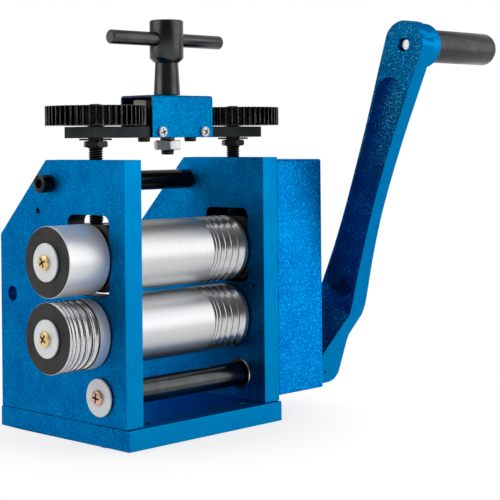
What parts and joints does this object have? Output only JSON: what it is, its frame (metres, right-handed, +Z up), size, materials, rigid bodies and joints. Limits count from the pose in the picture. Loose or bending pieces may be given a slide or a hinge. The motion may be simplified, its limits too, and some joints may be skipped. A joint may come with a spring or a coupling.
{
  "type": "jewellers rolling mill",
  "caption": "Blue hand cranked jeweller's rolling mill with plain and grooved steel rollers, geared T handle adjustment and side extension rollers.",
  "frame": {"origin": "centre of the base plate's underside", "axes": "+Z up, +X along the rollers towards the gear cover and crank, metal is fed in from -Y"},
  "size_m": [0.3333, 0.2061, 0.272],
  "materials": {
    "blue_paint": "hammered gloss enamel",
    "ground_steel": "fine ground",
    "zinc_plate": "bright zinc plate",
    "brass": "yellow plated",
    "copper_tone": "copper plated",
    "bronze": "plain bearing bronze",
    "black_steel": "black oxide",
    "dark_steel": "dark satin",
    "grip_plastic": "satin"
  },
  "bodies": {
    "frame": {"base_plate": "blue_paint", "left_side_plate": "blue_paint", "right_side_plate": "blue_paint", "upper_tie_rod": "black_steel", "left_tie_screw": "black_steel", "right_tie_screw": "black_steel", "gear_cover": "blue_paint", "upper_cover_screw": "black_steel", "lower_cover_screw": "black_steel", "left_lower_bush": "bronze", "right_lower_bush": "bronze", "left_drive_bush": "zinc_plate", "right_drive_bush": "zinc_plate"},
    "crosshead": {"crosshead_bar": "dark_steel", "gear_bracket": "blue_paint", "front_left_bracket_screw": "zinc_plate", "front_right_bracket_screw": "zinc_plate", "back_left_bracket_screw": "zinc_plate", "back_right_bracket_screw": "zinc_plate", "left_idler_bolt": "zinc_plate", "right_idler_bolt": "zinc_plate"},
    "left_idler": {"left_idler_gear": "black_steel"},
    "right_idler": {"right_idler_gear": "black_steel"},
    "t_handle": {"handle_spindle": "dark_steel", "handle_cross_bar": "dark_steel", "handle_pinion": "black_steel", "spindle_nut": "ground_steel"},
    "left_screw": {"left_pressure_screw": "black_steel", "left_side_gear": "black_steel", "left_lock_washer": "black_steel", "left_lock_nut": "black_steel"},
    "right_screw": {"right_pressure_screw": "black_steel", "right_side_gear": "black_steel", "right_lock_washer": "black_steel", "right_lock_nut": "black_steel"},
    "upper_blocks": {"left_bearing_block": "black_steel", "right_bearing_block": "black_steel", "left_upper_bush": "bronze", "right_upper_bush": "bronze"},
    "upper_roller": {"upper_main_roller": "ground_steel", "upper_extension_roller": "ground_steel", "upper_end_washer": "zinc_plate", "upper_end_screw": "brass", "upper_roller_gear": "black_steel", "upper_retaining_ring": "ground_steel"},
    "lower_roller": {"lower_main_roller": "ground_steel", "lower_extension_roller": "ground_steel", "lower_end_washer": "zinc_plate", "lower_end_screw": "brass", "lower_roller_gear": "black_steel", "drive_gear": "black_steel", "lower_retaining_ring": "ground_steel"},
    "drive": {"drive_pinion_shaft": "black_steel", "drive_end_washer": "zinc_plate", "drive_end_screw": "copper_tone", "crank_arm": "blue_paint", "crank_set_screw": "black_steel", "grip_stud": "zinc_plate"},
    "grip": {"crank_grip": "grip_plastic"}
  },
  "joints": [
    {"name": "crosshead_slide", "type": "slide", "parent": "frame", "child": "crosshead", "axis": [0, 0, 1], "range_m": [-0.0019, 0.005]},
    {"name": "upper_block_slide", "type": "slide", "parent": "frame", "child": "upper_blocks", "axis": [0, 0, 1], "range_m": [-0.0019, 0.005]},
    {"name": "handle_turn", "type": "hinge", "parent": "crosshead", "child": "t_handle", "pos_m": [0, -0.0282, 0.23], "axis": [0, 0, 1], "range_deg": [-1315, 3460]},
    {"name": "left_idler_turn", "type": "hinge", "parent": "crosshead", "child": "left_idler", "pos_m": [-0.02075, -0.0282, 0.2074], "axis": [0, 0, 1], "range_deg": [-3677, 1398]},
    {"name": "right_idler_turn", "type": "hinge", "parent": "crosshead", "child": "right_idler", "pos_m": [0.02075, -0.0282, 0.2074], "axis": [0, 0, 1], "range_deg": [-3677, 1398]},
    {"name": "left_screw_turn", "type": "hinge", "parent": "crosshead", "child": "left_screw", "pos_m": [-0.0615, -0.0282, 0.1934], "axis": [0, 0, 1], "range_deg": [-457, 1201]},
    {"name": "right_screw_turn", "type": "hinge", "parent": "crosshead", "child": "right_screw", "pos_m": [0.0615, -0.0282, 0.1934], "axis": [0, 0, 1], "range_deg": [-457, 1201]},
    {"name": "drive_shaft_turn", "type": "hinge", "parent": "frame", "child": "drive", "pos_m": [0, -0.0392, 0.03097], "axis": [1, 0, 0], "continuous": true},
    {"name": "lower_roller_turn", "type": "hinge", "parent": "frame", "child": "lower_roller", "pos_m": [0, -0.0282, 0.0701], "axis": [1, 0, 0], "continuous": true},
    {"name": "upper_roller_turn", "type": "hinge", "parent": "upper_blocks", "child": "upper_roller", "pos_m": [0, -0.0282, 0.1171], "axis": [1, 0, 0], "continuous": true},
    {"name": "grip_spin", "type": "hinge", "parent": "drive", "child": "grip", "pos_m": [0.19, -0.12364, 0.25562], "axis": [1, 0, 0], "continuous": true}
  ],
  "couplings": [
    {"joint": "upper_block_slide", "follows": "crosshead_slide", "ratio": 1},
    {"joint": "handle_turn", "follows": "crosshead_slide", "rad_per_m": 12074},
    {"joint": "left_idler_turn", "follows": "crosshead_slide", "rad_per_m": -12828},
    {"joint": "right_idler_turn", "follows": "crosshead_slide", "rad_per_m": -12828},
    {"joint": "left_screw_turn", "follows": "crosshead_slide", "rad_per_m": 4188.8},
    {"joint": "right_screw_turn", "follows": "crosshead_slide", "rad_per_m": 4188.8},
    {"joint": "lower_roller_turn", "follows": "drive_shaft_turn", "ratio": -0.31707},
    {"joint": "upper_roller_turn", "follows": "drive_shaft_turn", "ratio": 0.31707}
  ]
}
